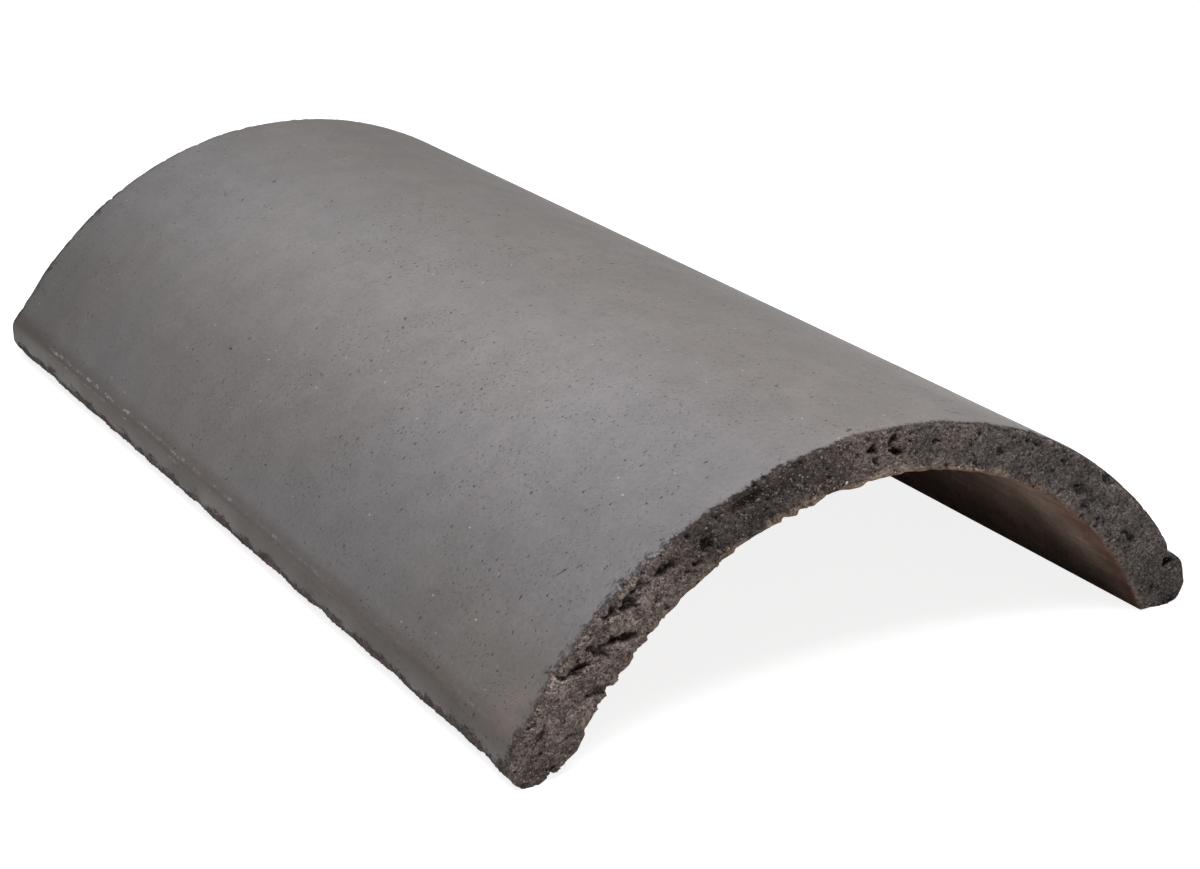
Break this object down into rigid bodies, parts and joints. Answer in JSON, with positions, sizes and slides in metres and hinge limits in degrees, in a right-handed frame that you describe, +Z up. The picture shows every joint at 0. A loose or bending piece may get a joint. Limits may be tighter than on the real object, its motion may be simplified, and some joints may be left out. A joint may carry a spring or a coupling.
{
  "type": "segmental ridge tile",
  "caption": "Concrete roof ridge tile: a shallow round arch, open below, with an upright toe and a flat sole along each foot, laid end to end along a ridge.",
  "frame": {"origin": "middle of the ground that the tile covers, at the level of its two soles", "axes": "+Y along the tile towards its far end, +X across it to the right foot, +Z up through the crown"},
  "size_m": [0.26, 0.457, 0.088],
  "materials": {
    "concrete": "through-coloured dark grey concrete: smooth satin slurry coat outside, open and rough on the cut ends, brown and matt under the arch"
  },
  "bodies": {
    "root": {"ridge_tile": "concrete"}
  },
  "joints": []
}
